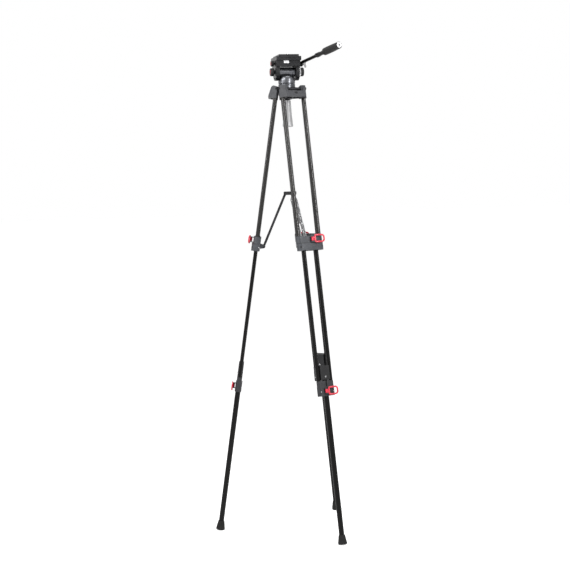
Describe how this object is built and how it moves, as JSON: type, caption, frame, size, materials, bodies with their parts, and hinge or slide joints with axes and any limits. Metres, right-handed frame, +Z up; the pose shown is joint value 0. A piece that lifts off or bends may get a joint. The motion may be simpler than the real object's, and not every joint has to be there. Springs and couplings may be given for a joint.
{
  "type": "tripod with fluid head",
  "caption": "Video tripod with twin-tube telescopic legs, flip locks, mid-level spreader, levelling bowl and a fluid head with pan bar and sliding camera plate.",
  "frame": {"origin": "on the floor under the middle of the bounding box; the tripod's own axis stands at x 0.0613, y 0.0000", "axes": "+Z up, the longest extent; the operator stands on the -Y side, towards which the pan bar points; one leg points along -X"},
  "size_m": [0.5186, 0.56, 1.8109],
  "materials": {
    "black_tube": "satin black anodised",
    "dark_metal": "dark satin casting",
    "gun_metal": "gunmetal satin",
    "grey_plastic": "mid-grey moulded plastic",
    "black_plastic": "black moulded plastic",
    "black_rubber": "black rubber",
    "red_metal": "red enamel",
    "silver": "bright satin",
    "pale_metal": "pale grey satin"
  },
  "bodies": {
    "crown": {"crown": "dark_metal"},
    "left_leg_upper": {"left_saddle": "grey_plastic", "left_upper_tube_a": "black_tube", "left_upper_tube_b": "black_tube", "left_mid_clamp": "grey_plastic"},
    "left_leg_middle": {"left_middle_frame": "black_tube", "left_lower_clamp": "black_plastic"},
    "left_leg_lower": {"left_guide_block": "black_plastic", "left_lower_tube": "black_tube", "left_foot": "black_rubber"},
    "left_arm": {"left_spreader_arm": "dark_metal"},
    "left_mid_lever": {"left_mid_lever": "red_metal"},
    "left_lower_lever": {"left_lower_lever": "red_metal"},
    "front_leg_upper": {"front_saddle": "grey_plastic", "front_upper_tube_a": "black_tube", "front_upper_tube_b": "black_tube", "front_mid_clamp": "grey_plastic"},
    "front_leg_middle": {"front_middle_frame": "black_tube", "front_lower_clamp": "black_plastic"},
    "front_leg_lower": {"front_guide_block": "black_plastic", "front_lower_tube": "black_tube", "front_foot": "black_rubber"},
    "front_arm": {"front_spreader_arm": "dark_metal"},
    "front_mid_lever": {"front_mid_lever": "red_metal"},
    "front_lower_lever": {"front_lower_lever": "red_metal"},
    "rear_leg_upper": {"rear_saddle": "grey_plastic", "rear_upper_tube_a": "black_tube", "rear_upper_tube_b": "black_tube", "rear_mid_clamp": "grey_plastic"},
    "rear_leg_middle": {"rear_middle_frame": "black_tube", "rear_lower_clamp": "black_plastic"},
    "rear_leg_lower": {"rear_guide_block": "black_plastic", "rear_lower_tube": "black_tube", "rear_foot": "black_rubber"},
    "rear_arm": {"rear_spreader_arm": "dark_metal"},
    "rear_mid_lever": {"rear_mid_lever": "red_metal"},
    "rear_lower_lever": {"rear_lower_lever": "red_metal"},
    "hub": {"spreader_hub": "black_plastic"},
    "washer": {"clamp_washer": "dark_metal"},
    "bowl": {"half_ball": "dark_metal", "pan_base": "gun_metal", "pan_spindle": "silver"},
    "tie_down": {"tie_down_handle": "pale_metal"},
    "pan": {"tilt_housing": "gun_metal"},
    "pan_lock": {"pan_lock_knob": "black_plastic"},
    "tilt": {"tilt_platform": "black_plastic", "tilt_axle": "silver", "drag_ring": "silver", "handle_rosette": "silver"},
    "tilt_lock": {"tilt_lock_knob": "black_plastic"},
    "plate_lock": {"plate_lock_knob": "black_plastic"},
    "plate_release": {"plate_release_button": "red_metal"},
    "drag_dial": {"drag_dial": "black_plastic"},
    "plate": {"quick_release_plate": "black_plastic"},
    "screw": {"camera_screw": "silver"},
    "pan_bar": {"pan_bar": "black_tube"},
    "wing_bolt": {"handle_wing_bolt": "pale_metal"},
    "bar_lock": {"handle_collar": "black_plastic"},
    "grip": {"handle_grip": "black_rubber", "grip_end_cap": "silver"}
  },
  "joints": [
    {"name": "left_leg_spread", "type": "hinge", "parent": "crown", "child": "left_leg_upper", "pos_m": [0.02235, 0, 1.66721], "axis": [0, 1, 0], "range_deg": [-8, 4.5]},
    {"name": "left_middle_slide", "type": "slide", "parent": "left_leg_upper", "child": "left_leg_middle", "axis": [0.1575, 0, 0.9875], "range_m": [0, 0.42]},
    {"name": "left_lower_slide", "type": "slide", "parent": "left_leg_middle", "child": "left_leg_lower", "axis": [0.1575, 0, 0.9875], "range_m": [0, 0.42]},
    {"name": "left_mid_lever_flip", "type": "hinge", "parent": "left_leg_upper", "child": "left_mid_lever", "pos_m": [-0.09028, -0.002, 1.11014], "axis": [-0.1575, 0, -0.9875], "range_deg": [0, 110]},
    {"name": "left_lower_lever_flip", "type": "hinge", "parent": "left_leg_middle", "child": "left_lower_lever", "pos_m": [-0.1745, 0.008, 0.55659], "axis": [-0.1575, 0, -0.9875], "range_deg": [0, 110]},
    {"name": "left_arm_fold", "type": "hinge", "parent": "left_leg_upper", "child": "left_arm", "pos_m": [-0.04365, 0, 1.08121], "axis": [0, 1, 0], "range_deg": [-16, 9]},
    {"name": "front_leg_spread", "type": "hinge", "parent": "crown", "child": "front_leg_upper", "pos_m": [0.08085, -0.03377, 1.66721], "axis": [-0.866, -0.5, 0], "range_deg": [-8, 4.5]},
    {"name": "front_middle_slide", "type": "slide", "parent": "front_leg_upper", "child": "front_leg_middle", "axis": [-0.0787, 0.1364, 0.9875], "range_m": [0, 0.42]},
    {"name": "front_lower_slide", "type": "slide", "parent": "front_leg_middle", "child": "front_leg_lower", "axis": [-0.0787, 0.1364, 0.9875], "range_m": [0, 0.42]},
    {"name": "front_mid_lever_flip", "type": "hinge", "parent": "front_leg_upper", "child": "front_mid_lever", "pos_m": [0.13889, -0.13031, 1.11014], "axis": [0.0787, -0.1364, -0.9875], "range_deg": [0, 110]},
    {"name": "front_lower_lever_flip", "type": "hinge", "parent": "front_leg_middle", "child": "front_lower_lever", "pos_m": [0.17234, -0.20825, 0.55659], "axis": [0.0787, -0.1364, -0.9875], "range_deg": [0, 110]},
    {"name": "front_arm_fold", "type": "hinge", "parent": "front_leg_upper", "child": "front_arm", "pos_m": [0.11385, -0.09093, 1.08121], "axis": [-0.866, -0.5, 0], "range_deg": [-16, 9]},
    {"name": "rear_leg_spread", "type": "hinge", "parent": "crown", "child": "rear_leg_upper", "pos_m": [0.08085, 0.03377, 1.66721], "axis": [0.866, -0.5, 0], "range_deg": [-8, 4.5]},
    {"name": "rear_middle_slide", "type": "slide", "parent": "rear_leg_upper", "child": "rear_leg_middle", "axis": [-0.0787, -0.1364, 0.9875], "range_m": [0, 0.42]},
    {"name": "rear_lower_slide", "type": "slide", "parent": "rear_leg_middle", "child": "rear_leg_lower", "axis": [-0.0787, -0.1364, 0.9875], "range_m": [0, 0.42]},
    {"name": "rear_mid_lever_flip", "type": "hinge", "parent": "rear_leg_upper", "child": "rear_mid_lever", "pos_m": [0.13543, 0.13231, 1.11014], "axis": [0.0787, 0.1364, -0.9875], "range_deg": [0, 110]},
    {"name": "rear_lower_lever_flip", "type": "hinge", "parent": "rear_leg_middle", "child": "rear_lower_lever", "pos_m": [0.1862, 0.20025, 0.55659], "axis": [0.0787, 0.1364, -0.9875], "range_deg": [0, 110]},
    {"name": "rear_arm_fold", "type": "hinge", "parent": "rear_leg_upper", "child": "rear_arm", "pos_m": [0.11385, 0.09093, 1.08121], "axis": [0.866, -0.5, 0], "range_deg": [-16, 9]},
    {"name": "hub_level", "type": "hinge", "parent": "left_arm", "child": "hub", "pos_m": [0.04435, 0, 1.27921], "axis": [0, 1, 0], "range_deg": [-14, 24]},
    {"name": "bowl_level_side", "type": "hinge", "parent": "crown", "child": "washer", "pos_m": [0.06135, 0, 1.67121], "axis": [1, 0, 0], "range_deg": [-6, 6]},
    {"name": "bowl_level_front", "type": "hinge", "parent": "washer", "child": "bowl", "pos_m": [0.06135, 0, 1.67121], "axis": [0, 1, 0], "range_deg": [-6, 6]},
    {"name": "tie_down_turn", "type": "hinge", "parent": "bowl", "child": "tie_down", "pos_m": [0.06135, 0, 1.67121], "axis": [0, 0, 1], "continuous": true},
    {"name": "pan", "type": "hinge", "parent": "bowl", "child": "pan", "pos_m": [0.06135, 0, 1.67121], "axis": [0, 0, 1], "continuous": true},
    {"name": "pan_lock_turn", "type": "hinge", "parent": "pan", "child": "pan_lock", "pos_m": [0.05473, 0.03111, 1.69371], "axis": [-0.2079, 0.9781, 0], "range_deg": [-180, 180]},
    {"name": "tilt", "type": "hinge", "parent": "pan", "child": "tilt", "pos_m": [0.06135, 0, 1.7307], "axis": [0.9781, 0.2079, 0], "range_deg": [-60, 60]},
    {"name": "tilt_lock_turn", "type": "hinge", "parent": "tilt", "child": "tilt_lock", "pos_m": [0.01704, -0.00942, 1.7307], "axis": [0.9781, 0.2079, 0], "range_deg": [-180, 180]},
    {"name": "plate_lock_turn", "type": "hinge", "parent": "tilt", "child": "plate_lock", "pos_m": [0.01704, -0.00942, 1.76221], "axis": [0.9781, 0.2079, 0], "range_deg": [-180, 180]},
    {"name": "drag_turn", "type": "hinge", "parent": "tilt", "child": "drag_dial", "pos_m": [0.11378, 0.01114, 1.7307], "axis": [0.9781, 0.2079, 0], "range_deg": [-135, 135]},
    {"name": "plate_release_press", "type": "slide", "parent": "tilt", "child": "plate_release", "axis": [0, 0, -1], "range_m": [0, 0.0012], "stiffness_N_per_m": 400, "springref_m": -0.001},
    {"name": "plate_slide", "type": "slide", "parent": "tilt", "child": "plate", "axis": [-0.2079, 0.9781, 0], "range_m": [-0.02, 0.02]},
    {"name": "camera_screw_turn", "type": "hinge", "parent": "plate", "child": "screw", "pos_m": [0.06758, -0.02934, 1.7307], "axis": [0, 0, 1], "continuous": true},
    {"name": "handle_angle", "type": "hinge", "parent": "tilt", "child": "pan_bar", "pos_m": [0.10986, 0.01031, 1.76021], "axis": [0.9781, 0.2079, 0], "range_deg": [-45, 35]},
    {"name": "wing_bolt_turn", "type": "hinge", "parent": "pan_bar", "child": "wing_bolt", "pos_m": [0.12219, 0.01293, 1.76021], "axis": [0.9781, 0.2079, 0], "range_deg": [-180, 180]},
    {"name": "bar_lock_turn", "type": "hinge", "parent": "pan_bar", "child": "bar_lock", "pos_m": [0.12402, -0.00917, 1.76571], "axis": [0.4583, -0.8804, 0.1219], "range_deg": [-60, 60]},
    {"name": "grip_slide", "type": "slide", "parent": "pan_bar", "child": "grip", "axis": [0.4583, -0.8804, 0.1219], "range_m": [0, 0.07]}
  ],
  "couplings": [
    {"joint": "left_arm_fold", "follows": "left_leg_spread", "ratio": 1.9},
    {"joint": "front_arm_fold", "follows": "left_leg_spread", "ratio": 1.9},
    {"joint": "front_leg_spread", "follows": "left_leg_spread", "ratio": 1},
    {"joint": "rear_arm_fold", "follows": "left_leg_spread", "ratio": 1.9},
    {"joint": "rear_leg_spread", "follows": "left_leg_spread", "ratio": 1},
    {"joint": "hub_level", "follows": "left_leg_spread", "ratio": -2.9}
  ]
}
